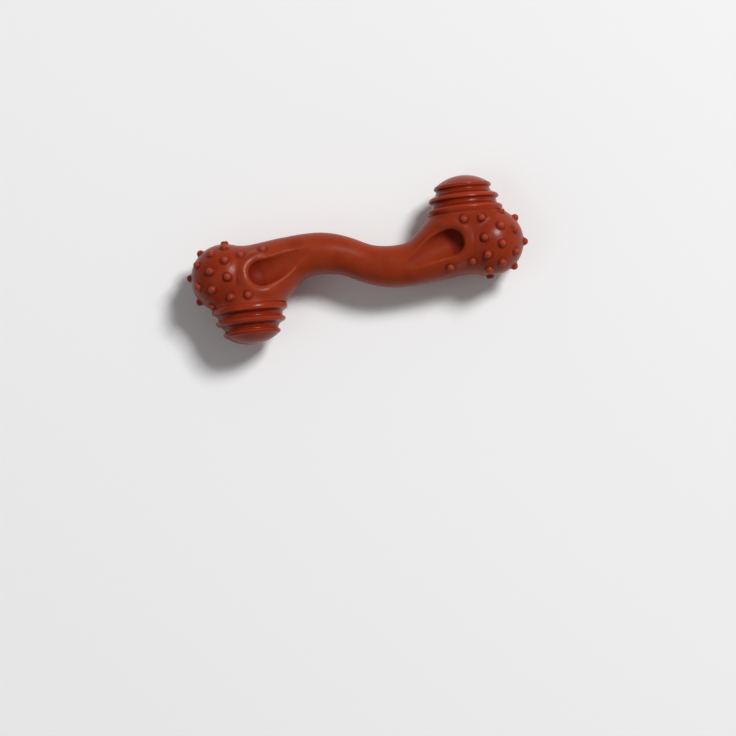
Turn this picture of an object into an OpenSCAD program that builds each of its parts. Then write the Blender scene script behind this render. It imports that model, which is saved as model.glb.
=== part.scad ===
// Moulded nylon chew bone: a wavy shaft with a spoon-shaped scoop on each face of
// each head, a round nubbed cap closing each end and a ribbed knob across each end.
// The bone lies flat, its length along X, its two knobs pointing along +Y and -Y.
// Half a turn about Z takes one end into the other.

/* [Shaft] */
// Diameter of the shaft at its two bends
shaft_d = 27; // [24:0.5:30]
// Diameter of the waist, midway along the shaft
waist_d = 24; // [20:0.5:27]
// Distance from the middle to each bend
bend_x = 27; // [24:0.5:30]
// How far each bend lies off the long axis
bend_h = 7; // [4:0.5:9]

/* [Heads] */
// Distance from the middle to the shoulder, where the shaft swells into the head
shoulder_x = 46; // [42:0.5:50]
// Diameter of the shoulder
shoulder_d = 32; // [30:0.5:34]
// Diameter of the shaft where it enters the shoulder
neck_d = 29; // [26:0.5:29]
// Distance from the middle to the thickest place of the head
head_x = 70; // [66:0.5:74]
// Thickness of the head
head_d = 38; // [34:0.5:40]

/* [Scoops] */
// Distance from the middle to the centre of the scoop's deep, round end
scoop_x = 61; // [58:0.5:65]
// Offset of that centre from the long axis, towards the knob
scoop_y = 2.5; // [1:0.5:6]
// Diameter of the scoop's deep, round end
scoop_w = 17; // [14:0.5:22]
// How much narrower the scoop is where it runs out
scoop_narrowing = 0.6; // [0.4:0.1:3]
// Depth of the scoop at its deep end
scoop_depth = 8; // [4:0.5:8.5]
// Length from the deep end's centre to where the scoop runs out on the shaft
scoop_run = 36; // [28:0.5:40]
// Slant of the scoop against the long axis
scoop_slant = 20; // [5:1:25]

/* [Nub caps] */
// Distance from the middle to the centre of the round cap
cap_x = 86; // [84:0.5:90]
// Offset of the cap and of the head from the long axis, towards the knob
cap_y = 2.3; // [0:0.1:4]
// How far the cap's skin lies inside the reach of the first rib, which leaves room for the nubs
cap_drop = 2.5; // [1:0.1:4]
// Distance from the middle to the seam between shaft and cap
seam_x = 79.5; // [78.5:0.5:81.5]

/* [Nubs] */
// Diameter of a nub
nub_d = 5; // [3:0.1:6]
// Height of a nub above the skin
nub_h = 3.1; // [1.5:0.1:4]
// Distance of the foot nubs below the knob
foot_nub_drop = 5; // [3.5:0.5:6]
// Turn of the first foot nub from the face of the head, round the knob's axis
foot_nub_first = -3; // [-8:1:5]
// Turn from the first foot nub to the next
foot_nub_turn = 29; // [26:1:34]
// Distance from the middle to the first flank nub, beside the scoop
flank_nub_x = 59.5; // [56:0.5:65]
// Distance between the two flank nubs
flank_nub_pitch = 14.5; // [7:0.5:16]
// Slant of the flank nubs from the face of the head
flank_nub_slant = 42; // [36:1:60]

/* [Ribbed knobs] */
// Distance from the middle to the knob's axis
knob_x = 72.5; // [71:0.5:73]
// Distance from the long axis to the seam between head and knob
knob_base = 21.5; // [20.5:0.5:24]
// Diameter of the first rib, next to the head, which the knob's foot and the round cap follow
rib_1_d = 49; // [47:0.5:54]
// How far the first rib stands out past the knob's foot
rib_rise = 1; // [0.5:0.1:3]
// Height of the straight edge below the knob's foot
foot_edge = 1; // [0.5:0.5:2]
// Diameter of the middle rib
rib_2_d = 45; // [41:0.5:48]
// Diameter of the last rib
rib_3_d = 36.5; // [34:0.5:42]
// Height of the first rib above the knob's foot
rib_start = 3; // [2:0.5:5]
// Distance from one rib to the next
rib_pitch = 7.7; // [6.5:0.1:9]
// Depth of the grooves between the ribs
groove_depth = 2.6; // [1.5:0.1:3.5]
// Diameter of the knob's rounded end
knob_end_d = 33; // [30:0.5:34]
// Height of the rounded end above the last rib
knob_end_h = 7; // [5:0.5:9]

/* [Moulded-in keys] */
// Diameter of the cap key's stem
cap_key_d = 11; // [8:0.5:12]
// Length of the cap key's stem
cap_key_l = 6; // [4:0.5:7]
// Diameter of the cap key's head
cap_lock_d = 16; // [13:0.5:17]
// Length of the cap key's head
cap_lock_l = 4; // [3:0.5:5]
// Diameter of the knob key's stem
knob_key_d = 8; // [6:0.5:9]
// Length of the knob key's stem
knob_key_l = 5; // [4:0.5:5.5]
// Diameter of the knob key's head
knob_lock_d = 12; // [10:0.5:13]
// Length of the knob key's head
knob_lock_l = 3; // [2:0.5:3.5]

/* [Hidden] */
$fn = 64;

nylon_red = [0.52, 0.18, 0.11];
shell_fn = 32;
far = 400;

// The cap and the knob are about as thick as each other, so the bone lies flat
cap_r = rib_1_d / 2 - cap_drop;
foot_d = rib_1_d - 2 * rib_rise;
cap_step = 6;
// Nubs on a cap: angle off the bone's length, then turn from the face towards the knob.
// The first list shows on both faces, the second lies midway between them.
face_nubs = [[97, 3], [95, -26], [95, -58], [65, 63], [69, 22], [69, -10], [72, -46], [40, 20], [43, -38]];
edge_nubs = [[37, 90], [6, -90], [51, -90], [95, -90]];
// How far a nub's centre lies outside the skin
nub_lift = nub_h - nub_d / 2;
cap_nub_r = cap_r + nub_lift;
// The head narrows from the knob's foot to its own thickness, and the foot nubs stand on that slope
foot_taper = (foot_d - head_d) / 2 / (knob_base - cap_y);
foot_nub_r = foot_d / 2 - foot_nub_drop * foot_taper + nub_lift;
// The bone rests on its nubs or on its widest ribs, whichever reach further from the mid-plane
cap_nub_reach = cap_nub_r * max([for (place = face_nubs) sin(place[0]) * cos(place[1])]) + nub_d / 2;
foot_nub_reach = foot_nub_r + nub_d / 2;
rest_z = max(rib_1_d / 2, cap_nub_reach, foot_nub_reach);

// Radius of the arc that runs from the middle through the bend
bend_r = (bend_x * bend_x + bend_h * bend_h) / (2 * bend_h);
shaft_steps = 40;
shaft_sides = 28;

// How far the shaft's middle line lies off the long axis
function line_y(x) = x < 0 ? -line_y(-x)
    : bend_r - bend_h - sqrt(bend_r * bend_r - (x - bend_x) * (x - bend_x));

// Direction of the middle line
function line_angle(x) = asin((abs(x) - bend_x) / bend_r);

// Smooth step from 0 to 1
function ease(t) = t * t * (3 - 2 * t);

// Radius of the shaft: waist, bend, neck
function shaft_r(x) = abs(x) < bend_x
    ? (waist_d + (shaft_d - waist_d) * ease(abs(x) / bend_x)) / 2
    : (shaft_d + (neck_d - shaft_d) * ease((abs(x) - bend_x) / (shoulder_x - bend_x))) / 2;

// One ring of points round the middle line
function shaft_ring(x) = [
    for (k = [0 : shaft_sides - 1])
        let (turn = 360 * k / shaft_sides, slope = line_angle(x), r = shaft_r(x))
        [x - r * cos(turn) * sin(slope), line_y(x) + r * cos(turn) * cos(slope), r * sin(turn)]
];

// Places on the knob's profile, as [radius, height]
function rib_r(k) = [rib_1_d, rib_2_d, rib_3_d][k] / 2;
function rib_z(k) = rib_start + k * rib_pitch;
knob_h = rib_z(2) + knob_end_h;
end_r = (knob_end_d * knob_end_d / 4 + knob_end_h * knob_end_h) / (2 * knob_end_h);
profile_step = 1 / 10;

// Between two ribs the profile sinks in a round groove, so each rib ends in an edge
function groove(k) = [
    for (t = [0 : profile_step : 1 - profile_step])
        [rib_r(k) + (rib_r(k + 1) - rib_r(k)) * t - groove_depth * sin(180 * t), rib_z(k) + rib_pitch * t]
];

// The underside of the first rib curves in to the foot
function foot_curve() = [
    for (t = [0 : profile_step : 1 - profile_step])
        [rib_r(0) - (rib_r(0) - foot_d / 2) * (1 - t) * (1 - t), rib_start * t]
];

// The rounded end, from its rim to its top
end_angle = asin(knob_end_d / 2 / end_r);
function end_curve() = [
    for (t = [0 : profile_step : 1])
        [end_r * sin(end_angle * (1 - t)), knob_h - end_r * (1 - cos(end_angle * (1 - t)))]
];

// The round cap's outline, turned about the bone's length
function cap_curve() = [for (turn = [-90 : cap_step : 90]) [cap_r * cos(turn), cap_r * sin(turn)]];

// A key that the moulded-on piece leaves in the shaft: a stem with a wider head
module key(stem_d, stem_l, head_d, head_l) {
    cylinder(d = stem_d, h = stem_l + head_l);
    translate([0, 0, stem_l]) cylinder(d = head_d, h = head_l);
}

// The right cap's key, pointing into the shaft
module cap_key() {
    translate([seam_x, cap_y, 0]) rotate([0, -90, 0])
        key(cap_key_d, cap_key_l, cap_lock_d, cap_lock_l);
}

// The right knob's key, pointing into the head
module knob_key() {
    translate([knob_x, knob_base, 0]) rotate([90, 0, 0])
        key(knob_key_d, knob_key_l, knob_lock_d, knob_lock_l);
}

// The shaft's wavy rod, from shoulder to shoulder
module wavy_rod() {
    rings = [for (i = [0 : shaft_steps]) shaft_ring(shoulder_x * (2 * i / shaft_steps - 1))];
    points = [for (ring = rings) each ring];
    sides = [
        for (i = [0 : shaft_steps - 1], k = [0 : shaft_sides - 1])
            let (a = i * shaft_sides, b = a + shaft_sides, n = (k + 1) % shaft_sides)
            each [[a + k, b + n, a + n], [a + k, b + k, b + n]]
    ];
    first_end = [for (k = [0 : shaft_sides - 1]) k];
    last_end = [for (k = [shaft_sides - 1 : -1 : 0]) shaft_steps * shaft_sides + k];
    polyhedron(points, concat([first_end], sides, [last_end]));
}

// The right head's skin: shoulder, thick middle and the knob's foot drawn into one form
module head_skin() {
    hull() {
        translate([shoulder_x, line_y(shoulder_x), 0]) sphere(d = shoulder_d, $fn = shell_fn);
        translate([head_x, cap_y, 0]) sphere(d = head_d, $fn = shell_fn);
        translate([knob_x, knob_base, 0]) rotate([90, 0, 0])
            cylinder(d = foot_d, h = foot_edge, $fn = shell_fn);
    }
}

// The right end in one skin: head and round cap
module end_skin() {
    head_skin();
    translate([cap_x, cap_y, 0]) rotate([0, 90, 0]) rotate_extrude() polygon(cap_curve());
}

// The space of the right cap: beyond its seam and below the knob
module cap_space() {
    translate([seam_x, knob_base - far, -far / 2]) cube(far);
}

// The space of the shaft's right end: up to the cap's seam and below the knob
module shaft_space() {
    translate([seam_x - far, knob_base - far, -far / 2]) cube(far);
}

// A nub on the right cap
module cap_nub(angle, turn) {
    along = cap_nub_r * cos(angle);
    across = cap_nub_r * sin(angle);
    translate([cap_x + along, cap_y + across * sin(turn), across * cos(turn)]) sphere(d = nub_d);
}

// A nub on the head just below the right knob, turned round the knob's axis
module foot_nub(turn) {
    foot_y = knob_base - foot_nub_drop;
    translate([knob_x + foot_nub_r * sin(turn), foot_y, foot_nub_r * cos(turn)]) sphere(d = nub_d);
}

// A nub beside the right scoop, on the side away from the knob
module flank_nub(x) {
    share = (x - shoulder_x) / (head_x - shoulder_x);
    middle = line_y(shoulder_x) + (cap_y - line_y(shoulder_x)) * share;
    out = (shoulder_d + (head_d - shoulder_d) * share) / 2 + nub_lift;
    translate([x, middle - out * sin(flank_nub_slant), out * cos(flank_nub_slant)]) sphere(d = nub_d);
}

// Shows a shape on the upper and on the lower face
module both_faces() {
    children();
    mirror([0, 0, 1]) children();
}

// The spoon-shaped cutter for the right head's upper scoop: a ball, and a rod that slants up from it
module scoop() {
    run_d = scoop_w - scoop_narrowing;
    deep_z = head_d / 2 - scoop_depth + scoop_w / 2;
    runout_z = (shaft_d + run_d) / 2;
    dip = atan((runout_z - deep_z) / scoop_run);
    translate([scoop_x, scoop_y, deep_z]) {
        sphere(d = scoop_w);
        rotate([0, 0, scoop_slant]) rotate([0, dip - 90, 0]) cylinder(d = run_d, h = scoop_run + scoop_w);
    }
}

// What the right end adds to the shaft
module shaft_end() {
    intersection() {
        end_skin();
        shaft_space();
    }
}

// The nubs that stand on the right head, on one face
module head_nubs() {
    foot_nub(foot_nub_first);
    flank_nub(flank_nub_x);
    flank_nub(flank_nub_x + flank_nub_pitch);
}

// What is cut from the right end of the shaft
module shaft_cuts() {
    both_faces() scoop();
    cap_key();
    knob_key();
}

// Shows a right-end shape at both ends
module both_ends() {
    children();
    rotate(180) children();
}

// The shaft with both heads, their scoops, and the sockets that the keys fill
module shaft() {
    color(nylon_red) translate([0, 0, rest_z]) {
        difference() {
            union() {
                wavy_rod();
                both_ends() shaft_end();
            }
            both_ends() shaft_cuts();
        }
        both_ends() both_faces() head_nubs();
    }
}

// The nubs of the right cap
module cap_nubs() {
    both_faces() {
        for (place = face_nubs) cap_nub(place[0], place[1]);
        foot_nub(foot_nub_first + foot_nub_turn);
    }
    for (place = edge_nubs) cap_nub(place[0], place[1]);
}

// The round cap moulded onto the right end, with its nubs
module nub_cap() {
    intersection() {
        union() {
            end_skin();
            cap_nubs();
        }
        cap_space();
    }
    cap_key();
}

// The ribbed knob moulded onto the right head
module rib_knob() {
    profile = concat([[0, 0]], foot_curve(), groove(0), groove(1), [[rib_r(2), rib_z(2)]], end_curve());
    translate([knob_x, knob_base, 0]) rotate([-90, 0, 0]) rotate_extrude() polygon(profile);
    knob_key();
}

module right_nub_cap() {
    color(nylon_red) translate([0, 0, rest_z]) nub_cap();
}

module left_nub_cap() {
    rotate(180) right_nub_cap();
}

module right_rib_knob() {
    color(nylon_red) translate([0, 0, rest_z]) rib_knob();
}

module left_rib_knob() {
    rotate(180) right_rib_knob();
}

shaft();
left_nub_cap();
right_nub_cap();
left_rib_knob();
right_rib_knob();
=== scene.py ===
# %% [markdown]
# # A moulded chew bone
# The object is a nylon chew bone: a wavy shaft, a spoon-shaped scoop on each face of each
# head, a round nubbed cap on each end and a ribbed knob across each end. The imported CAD
# model is loaded first. It fixes where everything is, and the pieces made below take the
# place of its five plain solids.

# %% Load the frame
from math import asin, atan2, cos, pi, radians, sin, sqrt

import bpy
from mathutils import Matrix, Vector


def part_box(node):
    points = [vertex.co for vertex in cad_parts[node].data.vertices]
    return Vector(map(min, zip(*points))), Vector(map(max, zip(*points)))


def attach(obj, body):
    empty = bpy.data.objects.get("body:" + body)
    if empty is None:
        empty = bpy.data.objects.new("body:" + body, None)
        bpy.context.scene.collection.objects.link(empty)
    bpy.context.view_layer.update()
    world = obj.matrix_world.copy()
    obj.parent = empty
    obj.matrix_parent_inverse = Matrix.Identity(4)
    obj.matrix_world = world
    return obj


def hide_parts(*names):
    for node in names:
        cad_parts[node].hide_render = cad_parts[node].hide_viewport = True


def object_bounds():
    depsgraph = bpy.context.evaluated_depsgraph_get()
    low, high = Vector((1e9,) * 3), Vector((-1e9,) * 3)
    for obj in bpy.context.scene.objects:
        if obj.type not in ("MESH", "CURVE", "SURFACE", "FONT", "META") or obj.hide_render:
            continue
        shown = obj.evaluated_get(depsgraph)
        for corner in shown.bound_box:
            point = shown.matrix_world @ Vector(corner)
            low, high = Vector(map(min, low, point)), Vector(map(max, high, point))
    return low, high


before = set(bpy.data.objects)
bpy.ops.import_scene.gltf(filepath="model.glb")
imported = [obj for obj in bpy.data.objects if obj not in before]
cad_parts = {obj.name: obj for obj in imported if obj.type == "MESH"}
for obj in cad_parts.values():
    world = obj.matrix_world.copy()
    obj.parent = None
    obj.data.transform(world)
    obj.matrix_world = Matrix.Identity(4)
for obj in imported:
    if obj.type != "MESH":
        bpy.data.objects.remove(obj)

MM = 0.001
cad_low, cad_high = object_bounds()
print("CAD box in mm:", [round(v / MM, 2) for v in cad_high - cad_low])

# %% [markdown]
# ## Camera
# The bone is seen almost square on to its broad side, a little left of and well above the
# middle of the picture, with its length rising to the right. It lies on the floor here, so
# the camera looks down on it. Moving the camera sideways without turning it puts the bone
# at its place in the picture, and no lens shift is needed.

# %% Camera
PICTURE_PX = 736
BONE_PX = (357.2, 260.0)
MM_PER_PX = 0.645
BONE_TILT = radians(6.25)
VIEW_ELEVATION = radians(86.6)
VIEW_SIDE = radians(1.7)
LENS = 200
SENSOR = 36

middle = (cad_low + cad_high) / 2
back = Vector((sin(VIEW_SIDE), -cos(VIEW_ELEVATION), sin(VIEW_ELEVATION))).normalized()
across = Vector((0, 1, 0)).cross(back).normalized()
upright = back.cross(across)
camera_x = across * cos(BONE_TILT) - upright * sin(BONE_TILT)
camera_y = across * sin(BONE_TILT) + upright * cos(BONE_TILT)

distance = PICTURE_PX * MM_PER_PX * MM * LENS / SENSOR
off_x = (BONE_PX[0] - PICTURE_PX / 2) * MM_PER_PX * MM
off_y = (PICTURE_PX / 2 - BONE_PX[1]) * MM_PER_PX * MM
eye = middle + back * distance - camera_x * off_x - camera_y * off_y

camera_data = bpy.data.cameras.new("camera")
camera_data.lens = LENS
camera_data.sensor_width = SENSOR
camera = bpy.data.objects.new("camera", camera_data)
bpy.context.scene.collection.objects.link(camera)
camera.matrix_world = Matrix.Translation(eye) @ Matrix((camera_x, camera_y, back)).transposed().to_4x4()
bpy.context.scene.camera = camera
print("camera", round(distance, 3), "m above the bone")

# %% [markdown]
# ## Floor and light
# The floor is one big pale plane. One soft square lamp stands high to the upper right, where
# the highlights on the ribs and on the right cap say that the real one was, and a weaker one
# fills in from the left. The rest is an even white sky. Together they light a white surface
# to about white, so a colour renders as it is written.

# %% Floor and light
bpy.context.scene.view_settings.view_transform = "Standard"

FLOOR_SIZE = 6.0
FLOOR_COLOR = (0.92, 0.92, 0.92, 1)
FLOOR_ROUGHNESS = 0.9
SKY_STRENGTH = 0.20


def plain_material(name, color, roughness):
    material = bpy.data.materials.new(name)
    material.use_nodes = True
    shader = material.node_tree.nodes["Principled BSDF"]
    shader.inputs["Base Color"].default_value = color
    shader.inputs["Roughness"].default_value = roughness
    return material


bpy.ops.object.select_all(action="DESELECT")
bpy.ops.mesh.primitive_plane_add(size=FLOOR_SIZE)
floor = bpy.context.object
floor.name = "floor"
floor.data.materials.append(plain_material("pale_floor", FLOOR_COLOR, FLOOR_ROUGHNESS))

world = bpy.data.worlds.new("sky")
world.use_nodes = True
world.node_tree.nodes["Background"].inputs["Color"].default_value = (1, 1, 1, 1)
world.node_tree.nodes["Background"].inputs["Strength"].default_value = SKY_STRENGTH
bpy.context.scene.world = world


def soft_lamp(name, towards, far, size, power):
    """A square lamp that faces the bone from one direction."""
    data = bpy.data.lights.new(name, "AREA")
    data.shape = "SQUARE"
    data.size = size
    data.energy = power
    lamp = bpy.data.objects.new(name, data)
    bpy.context.scene.collection.objects.link(lamp)
    direction = Vector(towards).normalized()
    lamp.location = middle + direction * far
    lamp.rotation_euler = direction.to_track_quat("Z", "Y").to_euler()


soft_lamp("key", (0.48, 0.39, 0.79), far=6.0, size=1.4, power=312)
soft_lamp("fill", (-0.55, -0.15, 0.80), far=5.0, size=3.0, power=16)

# %% [markdown]
# ## Shaft
# The shaft is a round rod that waves from one bend to the other and swells from its waist
# towards the heads. A curve with a bevel would do it, but then its thickness is set by a
# second curve. Extruding one disc from stop to stop, turning and resizing it at each, keeps
# the path and the thickness together, and the same helper serves for every rod below.

# %% Helpers for one object at a time
def work_on(piece):
    """Makes one object the only selected and the active one."""
    bpy.ops.object.select_all(action="DESELECT")
    piece.select_set(True)
    bpy.context.view_layer.objects.active = piece


def edit_all(piece):
    """Opens an object in edit mode with everything selected."""
    work_on(piece)
    bpy.ops.object.mode_set(mode="EDIT")
    bpy.ops.mesh.select_all(action="SELECT")


def close_edit():
    """Makes all faces point outwards and leaves edit mode."""
    bpy.ops.mesh.select_all(action="SELECT")
    bpy.ops.mesh.normals_make_consistent(inside=False)
    bpy.ops.object.mode_set(mode="OBJECT")


def apply_place():
    """Moves the active object's place into its mesh."""
    bpy.ops.object.transform_apply(location=True, rotation=True, scale=True)


# %% A rod along a path
def headings(points):
    """The direction of a path at each of its points, seen from above."""
    turns = []
    for i in range(len(points)):
        before = points[max(i - 1, 0)]
        after = points[min(i + 1, len(points) - 1)]
        turns.append(atan2(after[1] - before[1], after[0] - before[0]))
    return turns


def extrude_rod(name, points, radii, sides=48):
    """A disc extruded along a path. With no window, the rotate operator turns the other way."""
    bpy.ops.object.select_all(action="DESELECT")
    turns = headings(points)
    bpy.ops.mesh.primitive_circle_add(vertices=sides, radius=radii[0], fill_type="NGON",
                                      location=points[0], rotation=(0, pi / 2, turns[0]))
    rod = bpy.context.object
    rod.name = name
    apply_place()
    edit_all(rod)
    for i in range(1, len(points)):
        step = Vector(points[i]) - Vector(points[i - 1])
        turn = (turns[i] - turns[i - 1] + pi) % (2 * pi) - pi
        growth = radii[i] / radii[i - 1]
        bpy.ops.mesh.extrude_region_move(TRANSFORM_OT_translate={"value": step})
        bpy.ops.transform.rotate(value=-turn, orient_axis="Z", center_override=points[i])
        bpy.ops.transform.resize(value=(growth, growth, growth), center_override=points[i])
    close_edit()
    return rod


# %% The shaft's rod
knob_low, knob_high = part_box("right_rib_knob")
mid_z = (knob_low.z + knob_high.z) / 2
BEND_X = 27 * MM
BEND_H = 7 * MM
WAIST_R = 12 * MM
SHAFT_R = 13.5 * MM
NECK_R = 15 * MM
SHOULDER_X = 46 * MM
SHAFT_STOPS = 44
bend_r = (BEND_X ** 2 + BEND_H ** 2) / (2 * BEND_H)


def line_y(x):
    """How far the shaft's middle line lies off the long axis."""
    side = 1 if x >= 0 else -1
    return side * (bend_r - BEND_H - sqrt(bend_r ** 2 - (abs(x) - BEND_X) ** 2))


def ease(t):
    """Goes from 0 to 1 with a gentle start and end."""
    return t * t * (3 - 2 * t)


def shaft_r(x):
    """Radius of the shaft: waist, bend, neck."""
    if abs(x) < BEND_X:
        return WAIST_R + (SHAFT_R - WAIST_R) * ease(abs(x) / BEND_X)
    return SHAFT_R + (NECK_R - SHAFT_R) * ease((abs(x) - BEND_X) / (SHOULDER_X - BEND_X))


stops = [SHOULDER_X * (2 * i / SHAFT_STOPS - 1) for i in range(SHAFT_STOPS + 1)]
rod = extrude_rod("rod", [(x, line_y(x), mid_z) for x in stops], [shaft_r(x) for x in stops])
print("rod:", len(rod.data.polygons), "faces")

# %% [markdown]
# ## Head and round end
# Each head swells from the shoulder, flares into the foot of the ribbed knob and runs on
# into the round cap. The masses are blocked out with spheres and a drum, convex hulls stretch
# a skin over the head's and the collar's, and all is joined with the rod. A voxel remesh
# then makes one skin of everything, and smoothing draws the creases out into soft curves, as
# a pattern maker does with filler. A second drum stands up past the head, so that smoothing
# doesn't round the place where the knob sits.

# %% Block out the right end
knob_x = (knob_low.x + knob_high.x) / 2
rib_1_r = (knob_high.x - knob_low.x) / 2
SHOULDER_R = 16 * MM
HEAD_X = 70 * MM
HEAD_R = 19 * MM
CAP_X = 86 * MM
CAP_Y = 2.3 * MM
CAP_R = rib_1_r - 2.5 * MM
FOOT_R = rib_1_r - 1 * MM
KNOB_BASE = 21.5 * MM
COLLAR_X = 79 * MM
COLLAR_R = 20 * MM
FOOT_EDGE = 1 * MM
SEAT_H = 7 * MM


def add_sphere(x, y, radius):
    bpy.ops.mesh.primitive_uv_sphere_add(segments=64, ring_count=32, radius=radius, location=(x, y, mid_z))


def add_drum(low, high):
    """A drum on the knob's axis, between two distances from the long axis."""
    bpy.ops.mesh.primitive_cylinder_add(vertices=96, radius=FOOT_R, depth=high - low,
                                        location=(knob_x, (low + high) / 2, mid_z), rotation=(pi / 2, 0, 0))


def start_mass(name, x, y, radius):
    """A new object that starts as one sphere, open for adding more."""
    bpy.ops.object.select_all(action="DESELECT")
    add_sphere(x, y, radius)
    mass = bpy.context.object
    mass.name = name
    apply_place()
    edit_all(mass)
    return mass


def stretch_skin():
    """Stretches one convex skin over all that the open object holds."""
    bpy.ops.mesh.select_all(action="SELECT")
    bpy.ops.mesh.convex_hull()


head = start_mass("head", SHOULDER_X, line_y(SHOULDER_X), SHOULDER_R)
add_sphere(HEAD_X, CAP_Y, HEAD_R)
add_drum(KNOB_BASE - FOOT_EDGE, KNOB_BASE)
stretch_skin()
add_drum(KNOB_BASE - FOOT_EDGE, KNOB_BASE + SEAT_H)
close_edit()

collar = start_mass("collar", HEAD_X, CAP_Y, HEAD_R)
add_sphere(COLLAR_X, CAP_Y, COLLAR_R)
stretch_skin()
close_edit()

round_end = start_mass("round_end", CAP_X, CAP_Y, CAP_R)
close_edit()
print("masses:", [(mass.name, len(mass.data.polygons)) for mass in (head, collar, round_end)])


# %% Join, remesh and smooth
HALF_TURN = Matrix.Rotation(pi, 4, "Z")
FACE_FLIP = Matrix.Translation((0, 0, 2 * mid_z)) @ Matrix.Scale(-1, 4, (0, 0, 1))


def copy_of(piece, name, place):
    """A copy with its own mesh, moved by a matrix. A mirrored copy has its faces turned back."""
    copy = piece.copy()
    copy.data = piece.data.copy()
    copy.name = name
    copy.data.transform(place)
    if place.determinant() < 0:
        copy.data.flip_normals()
    bpy.context.scene.collection.objects.link(copy)
    return copy


def join(first, others):
    """Joins the others into the first object."""
    work_on(first)
    for other in others:
        other.select_set(True)
    bpy.ops.object.join()
    return first


def voxel_skin(piece, voxel, rounds, regrow=0):
    """One closed skin over all that the object holds, smoothed, and grown by what smoothing took off."""
    work_on(piece)
    remesh = piece.modifiers.new("skin", "REMESH")
    remesh.mode = "VOXEL"
    remesh.voxel_size = voxel
    bpy.ops.object.modifier_apply(modifier=remesh.name)
    smooth = piece.modifiers.new("soften", "SMOOTH")
    smooth.factor = 0.5
    smooth.iterations = rounds
    bpy.ops.object.modifier_apply(modifier=smooth.name)
    if regrow:
        swell = piece.modifiers.new("regrow", "DISPLACE")
        swell.mid_level = 0
        swell.strength = regrow
        bpy.ops.object.modifier_apply(modifier=swell.name)
    print(piece.name, "skin:", len(piece.data.polygons), "faces")


BLOCK_VOXEL = 0.6 * MM
BLOCK_ROUNDS = 70
BLOCK_REGROW = 0.3 * MM

ends = [head, collar, round_end]
ends += [copy_of(piece, "left_" + piece.name, HALF_TURN) for piece in ends]
bone = join(rod, ends)
bone.name = "bone"
voxel_skin(bone, BLOCK_VOXEL, BLOCK_ROUNDS, BLOCK_REGROW)

# %% [markdown]
# ## Scoops
# A spoon-shaped hollow runs from each head towards the shaft on both faces, steep and round
# at its deep end, and bends a little on its way, with a broad raised rim round the deep end.
# The rim is a rod laid on the skin in a U: a ray shot down at each of its points finds the
# skin. The hollow is cut afterwards by a round-nosed tool that follows the same bent line. A
# remesh then rounds the edge of the cut, as on a mould that was polished by hand.

# %% The scoop's line
SCOOP_X = 61 * MM
SCOOP_Y = 2.5 * MM
SCOOP_R = 9 * MM
SCOOP_DEPTH = 8 * MM
SCOOP_RUN = 36 * MM
DEEP_HEADING = radians(12)
RUNOUT_HEADING = radians(34)
LINE_STEP = 2 * MM
deep_z = mid_z + HEAD_R - SCOOP_DEPTH + SCOOP_R
runout_z = mid_z + SHAFT_R + SCOOP_R


def scoop_line(length):
    """Places along the scoop's middle, from its deep end towards the shaft, with the way it heads."""
    places = []
    x, y = SCOOP_X, SCOOP_Y
    for i in range(round(length / LINE_STEP) + 1):
        share = i * LINE_STEP / SCOOP_RUN
        heading = DEEP_HEADING + (RUNOUT_HEADING - DEEP_HEADING) * share
        way = Vector((-cos(heading), -sin(heading), 0))
        places.append((Vector((x, y, deep_z + (runout_z - deep_z) * share)), way))
        x, y = x + way.x * LINE_STEP, y + way.y * LINE_STEP
    return places


print("scoop line:", len(scoop_line(SCOOP_RUN)), "places")

# %% The raised rim
RIM_R = 4 * MM
RIM_PROUD = 1.7 * MM
RIM_GAP = 3.4 * MM
RIM_LEG = 12 * MM
RIM_SINK = 1.4
ARC_STOPS = 24
RAY_START_Z = 1.0
rim_radius = SCOOP_R + RIM_GAP


def on_skin(point, lift):
    """The place on the bone's upper skin under a point, lifted or sunk."""
    hit, place, normal, face = bone.ray_cast(Vector((point.x, point.y, RAY_START_Z)), Vector((0, 0, -1)))
    return place + normal * lift


def rim_leg(side):
    """One side of the U, from the deep end on, sinking into the skin as it goes."""
    leg = []
    for i, (place, way) in enumerate(scoop_line(RIM_LEG)):
        fade = ease(i * LINE_STEP / RIM_LEG)
        outwards = Vector((-way.y, way.x, 0)) * side
        leg.append(on_skin(place + outwards * rim_radius, RIM_PROUD * (1 - RIM_SINK * fade) - RIM_R))
    return leg


def rim_arc():
    """The round of the U."""
    centre, way = scoop_line(0)[0]
    across_way = Vector((-way.y, way.x, 0))
    turns = [pi * i / ARC_STOPS for i in range(1, ARC_STOPS)]
    spokes = [across_way * cos(t) - way * sin(t) for t in turns]
    return [on_skin(centre + spoke * rim_radius, RIM_PROUD - RIM_R) for spoke in spokes]


rim_points = rim_leg(1)[::-1] + rim_arc() + rim_leg(-1)
rim = extrude_rod("rim", rim_points, [RIM_R] * len(rim_points), sides=20)
rims = [rim, copy_of(rim, "lower_rim", FACE_FLIP)]
rims += [copy_of(piece, "left_" + piece.name, HALF_TURN) for piece in rims]
join(bone, rims)
RIM_VOXEL = 0.5 * MM
RIM_ROUNDS = 60
voxel_skin(bone, RIM_VOXEL, RIM_ROUNDS)

# %% The round-nosed tool
NOSE_STOPS = 12
line = scoop_line(SCOOP_RUN + SCOOP_R)
centre, way = line[0]
nose = [pi / 2 * i / NOSE_STOPS for i in range(1, NOSE_STOPS)]
tool_points = [centre - way * SCOOP_R * cos(t) for t in nose] + [place for place, way in line]
tool_radii = [SCOOP_R * sin(t) for t in nose] + [SCOOP_R] * len(line)
tool = extrude_rod("tool", tool_points, tool_radii, sides=96)


def boolean(piece, cutter, operation):
    """Cuts one object by another, or unites them, and deletes the other."""
    work_on(piece)
    step = piece.modifiers.new("boolean", "BOOLEAN")
    step.operation = operation
    step.solver = "MANIFOLD"
    step.object = cutter
    bpy.ops.object.modifier_apply(modifier=step.name)
    bpy.data.objects.remove(cutter)


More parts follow.
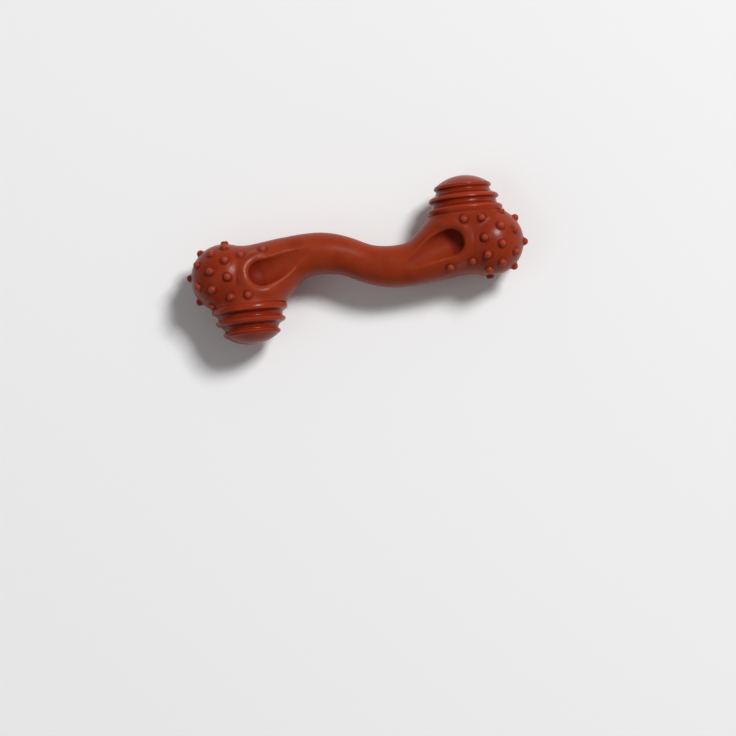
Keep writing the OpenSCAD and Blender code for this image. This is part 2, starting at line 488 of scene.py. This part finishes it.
tools = [tool, copy_of(tool, "lower_tool", FACE_FLIP)]
tools += [copy_of(piece, "left_" + piece.name, HALF_TURN) for piece in tools]
for cutter in tools:
    boolean(bone, cutter, "DIFFERENCE")
EDGE_ROUNDS = 26
EDGE_REGROW = 0.1 * MM
voxel_skin(bone, RIM_VOXEL, EDGE_ROUNDS, EDGE_REGROW)

# %% [markdown]
# ## Nubs
# Small rounded studs stand all over the caps, with a few more beside the scoops and below
# the knobs. One stud is modelled: the top of a sphere, with its edge drawn down into a foot
# that widens. It is then copied to each place, pointing away from the skin there. The last
# remesh runs all of them into the skin with a small fillet at the foot, as the mould does.

# %% One stud
NUB_H = 3.0 * MM
NUB_TIP_R = 2.5 * MM
NUB_FOOT = ((2.75 * MM, 0.15 * MM), (3.4 * MM, -0.35 * MM), (3.4 * MM, -1.5 * MM))
equator = NUB_H - NUB_TIP_R

bpy.ops.object.select_all(action="DESELECT")
bpy.ops.mesh.primitive_uv_sphere_add(segments=32, ring_count=16, radius=NUB_TIP_R, location=(0, 0, equator))
nub = bpy.context.object
nub.name = "nub"
apply_place()
edit_all(nub)
bpy.ops.mesh.bisect(plane_co=(0, 0, equator), plane_no=(0, 0, -1), use_fill=True, clear_outer=True)
edge_r, edge_z = NUB_TIP_R, equator
for radius, height in NUB_FOOT:
    widen = radius / edge_r
    bpy.ops.mesh.extrude_region_move(TRANSFORM_OT_translate={"value": (0, 0, height - edge_z)})
    bpy.ops.transform.resize(value=(widen, widen, 1), center_override=(0, 0, 0))
    edge_r, edge_z = radius, height
close_edit()
print("nub:", len(nub.data.polygons), "faces")

# %% Where the studs stand
# On a cap: angle off the bone's length, then turn from the upper face towards the knob.
FACE_NUBS = [(97, 3), (95, -26), (95, -58), (65, 63), (69, 22), (69, -10), (72, -46), (40, 20), (43, -38)]
EDGE_NUBS = [(37, 90), (6, -90), (51, -90), (95, -90)]
FOOT_NUB_DROP = 5 * MM
FOOT_NUB_TURNS = (-3, 26)
FLANK_NUBS_X = (59.5 * MM, 74 * MM)
FLANK_NUB_SLANT = radians(42)


def cap_spot(angle, turn):
    """A place on the right cap, and the way out of the skin there."""
    a, t = radians(angle), radians(turn)
    out = Vector((cos(a), sin(a) * sin(t), sin(a) * cos(t)))
    return Vector((CAP_X, CAP_Y, mid_z)) + out * CAP_R, out


def foot_spot(turn):
    """A place on the right head just below the knob."""
    t = radians(turn)
    taper = (FOOT_R - HEAD_R) / (KNOB_BASE - CAP_Y)
    out = Vector((sin(t), 0, cos(t)))
    return Vector((knob_x, KNOB_BASE - FOOT_NUB_DROP, mid_z)) + out * (FOOT_R - FOOT_NUB_DROP * taper), out


def flank_spot(x):
    """A place on the right head beside the scoop, on the side away from the knob."""
    share = (x - SHOULDER_X) / (HEAD_X - SHOULDER_X)
    axis_y = line_y(SHOULDER_X) + (CAP_Y - line_y(SHOULDER_X)) * share
    out = Vector((0, -sin(FLANK_NUB_SLANT), cos(FLANK_NUB_SLANT)))
    return Vector((x, axis_y, mid_z)) + out * (SHOULDER_R + (HEAD_R - SHOULDER_R) * share), out


spots = [cap_spot(*place) for place in FACE_NUBS]
spots += [foot_spot(turn) for turn in FOOT_NUB_TURNS]
spots += [flank_spot(x) for x in FLANK_NUBS_X]
edge_spots = [cap_spot(*place) for place in EDGE_NUBS]
print("places for studs:", len(spots), "on a face of one end,", len(edge_spots), "on its edge")

# %% Stand the studs on the skin
def stand(piece, spot, number):
    """A copy of a piece at a place, its own Z pointing out of the skin."""
    place, out = spot
    turn = out.to_track_quat("Z", "Y").to_matrix().to_4x4()
    return copy_of(piece, f"{piece.name}_{number}", Matrix.Translation(place) @ turn)


face_studs = [stand(nub, spot, i) for i, spot in enumerate(spots)]
studs = face_studs + [copy_of(stud, "lower_" + stud.name, FACE_FLIP) for stud in face_studs]
studs += [stand(nub, spot, f"edge_{i}") for i, spot in enumerate(edge_spots)]
studs += [copy_of(stud, "left_" + stud.name, HALF_TURN) for stud in studs]
bpy.data.objects.remove(nub)
print("studs:", len(studs))

FINE_VOXEL = 0.5 * MM
FINE_ROUNDS = 6
join(bone, studs)
voxel_skin(bone, FINE_VOXEL, FINE_ROUNDS)

# %% [markdown]
# ## Crests and hollows
# The finish below needs to know where the skin stands proud and where it is hollow: it paints
# the crests paler, partly as wear and partly as a painted highlight, and paints shade into the
# hollows. Blender's Dirty Vertex Colors compares each point with its neighbours and writes that
# down as a shade: half grey on a flat place, lighter on a crest, darker in a hollow. It runs on
# the one skin, before that is parted, so no line shows at the seams.

# %% Shade the crests and hollows
CREST_ANGLE = radians(97)
HOLLOW_ANGLE = radians(83)


def shade_relief(piece):
    """Writes how far each point stands proud or lies hollow as a shade of grey."""
    work_on(piece)
    bpy.ops.geometry.color_attribute_add(name="relief", domain="CORNER", data_type="BYTE_COLOR",
                                         color=(1, 1, 1, 1))
    bpy.ops.paint.vertex_color_dirt(blur_strength=1.0, blur_iterations=2, clean_angle=CREST_ANGLE,
                                    dirt_angle=HOLLOW_ANGLE, dirt_only=False, normalize=False)


shade_relief(bone)
print("relief written on", len(bone.data.loops), "corners")

# %% [markdown]
# ## Part the skin
# The caps are moulded onto the shaft, so the one skin is parted where the CAD model has its
# seams. Cutting a copy with a plane and filling the cut gives each piece a flat, closed face
# that meets its neighbour's exactly. The threshold is set small, because by default a point
# within a tenth of a millimetre of the plane stays where it is, and the face isn't flat.

# %% Cut the pieces
SEAM_X = 79.5 * MM
MERGE_DISTANCE = 0.001 * MM


def cut_copy(name, planes):
    """A copy of the bone that keeps what lies behind each plane, given as point and direction."""
    piece = copy_of(bone, name, Matrix.Identity(4))
    for place, away in planes:
        edit_all(piece)
        bpy.ops.mesh.bisect(plane_co=place, plane_no=away, use_fill=True, clear_outer=True,
                            threshold=MERGE_DISTANCE)
        bpy.ops.object.mode_set(mode="OBJECT")
    return piece


right_seam = (SEAM_X, 0, 0)
left_seam = (-SEAM_X, 0, 0)
knob_seats = [((0, KNOB_BASE, 0), (0, 1, 0)), ((0, -KNOB_BASE, 0), (0, -1, 0))]
shaft = cut_copy("shaft_skin", [(right_seam, (1, 0, 0)), (left_seam, (-1, 0, 0))] + knob_seats)
right_cap = cut_copy("right_cap_skin", [(right_seam, (-1, 0, 0))] + knob_seats)
left_cap = cut_copy("left_cap_skin", [(left_seam, (1, 0, 0))] + knob_seats)
bpy.data.objects.remove(bone)
for piece in (shaft, right_cap, left_cap):
    print(piece.name, len(piece.data.polygons), "faces")

# %% [markdown]
# ## Ribbed knobs
# Each knob is a turned form: a foot, three ribs with round grooves between them, and a low
# domed end. Below the foot it goes on as a key, a stem with a wider head, which holds it in the
# shaft and doesn't show on the whole bone. The outline is drawn once, by extruding a single point
# from place to place, and spun about the knob's axis. A formula rounds the ribs' edges.

# %% The knob's outline
RIB_R = (rib_1_r, 22.5 * MM, 18.25 * MM)
RIB_START = 3 * MM
RIB_PITCH = 7.7 * MM
GROOVE_DEPTH = 2.6 * MM
RIB_FLAT = 0.3
END_ROUND = 1.0 * MM
KNOB_KEY = (4 * MM, 5 * MM, 6 * MM, 3 * MM)
OUTLINE_STEPS = 18
knob_h = knob_high.y - KNOB_BASE


def groove_depth(t):
    """How deep the groove is a share t of the way between two ribs, which have blunt, round edges."""
    return GROOVE_DEPTH * ease(max(0, (sin(pi * t) - RIB_FLAT) / (1 - RIB_FLAT)))


def knob_outline():
    """Radius and height of each point, from the end of the key to the top."""
    shares = [i / OUTLINE_STEPS for i in range(OUTLINE_STEPS)]
    stem_r, stem_l, head_r, head_l = KNOB_KEY
    outline = [(0, -stem_l - head_l), (head_r, -stem_l - head_l), (head_r, -stem_l)]
    outline += [(stem_r, -stem_l), (stem_r, 0)]
    outline += [(RIB_R[0] - (RIB_R[0] - FOOT_R) * (1 - t) ** 2, RIB_START * t) for t in shares]
    for rib in (0, 1):
        fall = RIB_R[rib + 1] - RIB_R[rib]
        foot = RIB_START + rib * RIB_PITCH
        outline += [(RIB_R[rib] + fall * t - groove_depth(t), foot + RIB_PITCH * t) for t in shares]
    last_rib = RIB_START + 2 * RIB_PITCH
    dome_r = RIB_R[2] - END_ROUND
    quarter = [pi / 2 * t for t in shares]
    outline += [(dome_r + END_ROUND * cos(a), last_rib + END_ROUND * sin(a)) for a in quarter]
    dome_h = knob_h - last_rib - END_ROUND
    ball_r = (dome_r ** 2 + dome_h ** 2) / (2 * dome_h)
    sweep = asin(dome_r / ball_r)
    angles = [sweep * (1 - t) for t in shares]
    outline += [(ball_r * sin(a), knob_h - ball_r * (1 - cos(a))) for a in angles]
    return outline + [(0, knob_h)]


print("knob outline:", len(knob_outline()), "points")

# %% Spin the outline
KNOB_STEPS = 128


def spin_knob(name):
    """The right knob, turned from its outline."""
    bpy.ops.object.select_all(action="DESELECT")
    outline = [Vector((knob_x + r, KNOB_BASE + h, mid_z)) for r, h in knob_outline()]
    bpy.ops.mesh.primitive_plane_add(size=MM, location=outline[0])
    piece = bpy.context.object
    piece.name = name
    apply_place()
    edit_all(piece)
    bpy.ops.mesh.merge(type="CENTER")
    for before, after in zip(outline, outline[1:]):
        bpy.ops.mesh.extrude_region_move(TRANSFORM_OT_translate={"value": after - before})
    bpy.ops.mesh.select_all(action="SELECT")
    bpy.ops.mesh.spin(steps=KNOB_STEPS, angle=2 * pi, center=outline[0], axis=(0, 1, 0))
    bpy.ops.mesh.select_all(action="SELECT")
    bpy.ops.mesh.remove_doubles(threshold=MERGE_DISTANCE)
    close_edit()
    return piece


right_knob = spin_knob("right_knob_skin")
shade_relief(right_knob)
left_knob = copy_of(right_knob, "left_knob_skin", HALF_TURN)
print("knob:", len(right_knob.data.polygons), "faces")

# %% [markdown]
# ## Keys and sockets
# A cap holds by such a key too, which the second shot of nylon leaves in a socket of the first.
# A disc extruded along the key's axis makes it, rooted a little way inside the cap and joined
# to it. The shaft's sockets are cut by the same shapes, a hair wider.

# %% Lock the pieces
CAP_KEY = (5.5 * MM, 6 * MM, 8 * MM, 4 * MM)
KEY_ROOT = 1 * MM
SOCKET_GAP = 0.02 * MM


def key(name, seat, way, sizes, gap=0):
    """A key that points away from its seat. Sizes are radius and length of its stem, then of its head."""
    stem_r, stem_l, head_r, head_l = sizes
    lengths = (-KEY_ROOT, stem_l - gap, stem_l - gap, stem_l + head_l + gap)
    radii = (stem_r + gap, stem_r + gap, head_r + gap, head_r + gap)
    return extrude_rod(name, [seat + way * length for length in lengths], radii)


def lock(seat, way, sizes, caps=()):
    """Cuts the sockets of both ends into the shaft, and gives the caps their keys."""
    for cap, turn in zip(caps, (Matrix.Identity(4), HALF_TURN)):
        cap_key = key("key", seat, way, sizes)
        cap_key.data.transform(turn)
        boolean(cap, cap_key, "UNION")
    for turn in (Matrix.Identity(4), HALF_TURN):
        socket = key("socket", seat, way, sizes, SOCKET_GAP)
        socket.data.transform(turn)
        boolean(shaft, socket, "DIFFERENCE")


lock(Vector((SEAM_X, CAP_Y, mid_z)), Vector((-1, 0, 0)), CAP_KEY, caps=(right_cap, left_cap))
lock(Vector((knob_x, KNOB_BASE, mid_z)), Vector((0, -1, 0)), KNOB_KEY)
for piece in (shaft, right_cap, left_cap):
    edit_all(piece)
    bpy.ops.mesh.remove_doubles(threshold=MERGE_DISTANCE)
    bpy.ops.object.mode_set(mode="OBJECT")
    print(piece.name, "locked:", len(piece.data.polygons), "faces")

# %% [markdown]
# ## Nylon
# The bone is one brick-red nylon with a satin skin. A flat colour would look like paint, so
# the colour drifts a little in soft patches, as pigment does in a moulding. The studs and rib
# edges are painted paler, partly as wear and partly as a painted highlight, and the hollows are
# painted darker as painted shade. On the shaft and caps, these are duller too. A fine grain in
# the surface breaks up the highlights. All three finishes share one node group and differ in its values.

# %% The shared surface group
def new_group(name, inputs, outputs):
    """An empty shader node group with named sockets."""
    group = bpy.data.node_groups.new(name, "ShaderNodeTree")
    for label, kind in inputs:
        group.interface.new_socket(name=label, in_out="INPUT", socket_type=kind)
    for label, kind in outputs:
        group.interface.new_socket(name=label, in_out="OUTPUT", socket_type=kind)
    return group


# Two of the colours paint light: a paler one on crests, partly wear and partly a painted highlight, and a
# darker one in hollows, which is painted shade.
nylon_group = new_group(
    "moulded_nylon",
    [("Body", "NodeSocketColor"), ("Patch", "NodeSocketColor"), ("Wear and highlight colour", "NodeSocketColor"),
     ("Painted shade", "NodeSocketColor"), ("Satin", "NodeSocketFloat"), ("Wear and highlight amount", "NodeSocketFloat"),
     ("Dull", "NodeSocketFloat")],
    [("Color", "NodeSocketColor"), ("Roughness", "NodeSocketFloat"), ("Height", "NodeSocketFloat")],
)
nodes, links = nylon_group.nodes, nylon_group.links


def add(kind, **settings):
    """A new node in the group."""
    node = nodes.new(kind)
    for name, value in settings.items():
        setattr(node, name, value)
    return node


def noise(scale, detail, roughness):
    """Noise that is fixed to the object, with scale in spots to the metre."""
    node = add("ShaderNodeTexNoise")
    node.inputs["Scale"].default_value = scale
    node.inputs["Detail"].default_value = detail
    node.inputs["Roughness"].default_value = roughness
    links.new(coords.outputs["Object"], node.inputs["Vector"])
    return node.outputs["Fac"]


def ramp(value, low, high, to_low=0.0, to_high=1.0):
    """Eases a value over from one range to another."""
    node = add("ShaderNodeMapRange", interpolation_type="SMOOTHSTEP")
    links.new(value, node.inputs["Value"])
    node.inputs["From Min"].default_value = low
    node.inputs["From Max"].default_value = high
    node.inputs["To Min"].default_value = to_low
    node.inputs["To Max"].default_value = to_high
    return node.outputs["Result"]


def calc(operation, a, b):
    """A math node on two values or sockets."""
    node = add("ShaderNodeMath", operation=operation)
    for socket, value in zip(node.inputs, (a, b)):
        if isinstance(value, (int, float)):
            socket.default_value = value
        else:
            links.new(value, socket)
    return node.outputs["Value"]


def mix(factor, a, b):
    """Two colours mixed by a factor."""
    node = add("ShaderNodeMix", data_type="RGBA")
    links.new(factor, node.inputs["Factor"])
    links.new(a, node.inputs["A"])
    links.new(b, node.inputs["B"])
    return node.outputs["Result"]


given = add("NodeGroupInput")
result = add("NodeGroupOutput")
coords = add("ShaderNodeTexCoord")
relief = add("ShaderNodeAttribute", attribute_name="relief")

patches = ramp(noise(scale=55, detail=3, roughness=0.55), low=0.38, high=0.66)
flecks = ramp(noise(scale=420, detail=2, roughness=0.6), low=0.45, high=0.75, to_high=0.35)
grain = noise(scale=2600, detail=2, roughness=0.5)
shade = relief.outputs["Fac"]
crest = ramp(shade, low=0.56, high=0.86)
# The hollow mask paints shade: full in gentle hollows, weaker in tight folds, whose real shadow already
# darkens them. It also dulls the roughness below.
tight_fold = ramp(shade, low=0.34, high=0.22, to_low=1.0, to_high=0.35)
hollow = calc("MULTIPLY", ramp(shade, low=0.48, high=0.38), tight_fold)

toned = mix(patches, given.outputs["Body"], given.outputs["Patch"])
toned = mix(calc("MULTIPLY", flecks, patches), toned, given.outputs["Body"])
# Painted shade: the hollows are darkened towards the shade colour.
toned = mix(hollow, toned, given.outputs["Painted shade"])
# Crests take a paler colour, partly wear and partly a painted highlight.
toned = mix(calc("MULTIPLY", crest, given.outputs["Wear and highlight amount"]), toned, given.outputs["Wear and highlight colour"])
links.new(toned, result.inputs["Color"])

grain_satin = ramp(grain, low=0.3, high=0.7, to_low=-0.04, to_high=0.05)
satin = calc("ADD", given.outputs["Satin"], grain_satin)
satin = calc("ADD", satin, calc("MULTIPLY", calc("MAXIMUM", crest, hollow), given.outputs["Dull"]))
links.new(satin, result.inputs["Roughness"])
SWELL_SHARE = 3.0
swell = calc("MULTIPLY", noise(scale=160, detail=2, roughness=0.5), SWELL_SHARE)
links.new(calc("ADD", grain, swell), result.inputs["Height"])
print("nylon group:", len(nodes), "nodes")


# %% Three finishes of the same nylon
def srgb(red, green, blue):
    """A colour written as it looks on a screen, 0 to 255, as the shader wants it."""
    parts = [v / 255 for v in (red, green, blue)]
    return [v / 12.92 if v <= 0.04045 else ((v + 0.055) / 1.055) ** 2.4 for v in parts] + [1.0]


# The crest colour is partly wear and partly a painted highlight; the hollow colour is painted shade.
WEAR_AND_HIGHLIGHT_COLOR = srgb(172, 70, 46)
PAINTED_SHADE_COLOR = srgb(114, 28, 10)
NYLON_IOR = 1.53
SPECULAR_LEVEL = 0.13
GRAIN_STRENGTH = 0.25
GRAIN_DEPTH = 0.05 * MM


def nylon(name, body, patch, satin, wear_and_highlight_amount, dull):
    """One finish: two body colours, roughness, how much crests take the paler colour of wear and painted
    highlight, how dull crests and hollows are.
    """
    material = bpy.data.materials.new(name)
    material.use_nodes = True
    tree = material.node_tree
    shader = tree.nodes["Principled BSDF"]
    shader.inputs["IOR"].default_value = NYLON_IOR
    shader.inputs["Specular IOR Level"].default_value = SPECULAR_LEVEL
    surface = tree.nodes.new("ShaderNodeGroup")
    surface.node_tree = nylon_group
    surface.inputs["Body"].default_value = body
    surface.inputs["Patch"].default_value = patch
    surface.inputs["Wear and highlight colour"].default_value = WEAR_AND_HIGHLIGHT_COLOR
    surface.inputs["Painted shade"].default_value = PAINTED_SHADE_COLOR
    surface.inputs["Satin"].default_value = satin
    surface.inputs["Wear and highlight amount"].default_value = wear_and_highlight_amount
    surface.inputs["Dull"].default_value = dull
    bump = tree.nodes.new("ShaderNodeBump")
    bump.inputs["Strength"].default_value = GRAIN_STRENGTH
    bump.inputs["Distance"].default_value = GRAIN_DEPTH
    tree.links.new(surface.outputs["Height"], bump.inputs["Height"])
    tree.links.new(bump.outputs["Normal"], shader.inputs["Normal"])
    tree.links.new(surface.outputs["Color"], shader.inputs["Base Color"])
    tree.links.new(surface.outputs["Roughness"], shader.inputs["Roughness"])
    return material


shaft_finish = nylon("shaft_finish", srgb(144, 50, 22), srgb(134, 43, 17), satin=0.33, wear_and_highlight_amount=0.4, dull=0.25)
cap_finish = nylon("cap_finish", srgb(141, 47, 20), srgb(131, 40, 16), satin=0.28, wear_and_highlight_amount=0.4, dull=0.15)
knob_finish = nylon("knob_finish", srgb(144, 45, 20), srgb(134, 39, 16), satin=0.25, wear_and_highlight_amount=0.3, dull=0.0)
print("finishes:", [finish.name for finish in (shaft_finish, cap_finish, knob_finish)])

# %% [markdown]
# ## Hand over
# Each piece gets its finish and stands for its CAD solid. Smooth shading stops at sharp
# edges, so the flat seam faces don't bend the light on the skin beside them.

# %% Dress the pieces
SHARP_ANGLE = radians(40)
dressing = [
    (shaft, "shaft", shaft_finish, "shaft_nylon"),
    (right_cap, "right_nub_cap", cap_finish, "cap_nylon"),
    (left_cap, "left_nub_cap", cap_finish, "cap_nylon"),
    (right_knob, "right_rib_knob", knob_finish, "knob_nylon"),
    (left_knob, "left_rib_knob", knob_finish, "knob_nylon"),
]
for piece, node, finish, slot in dressing:
    work_on(piece)
    bpy.ops.object.shade_smooth_by_angle(angle=SHARP_ANGLE)
    piece.data.materials.clear()
    piece.data.materials.append(finish)
    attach(piece, "root")
    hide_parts(node)
    triangles = sum(len(face.vertices) - 2 for face in piece.data.polygons)
    print(piece.name, "stands for", node, "with", triangles, "triangles")
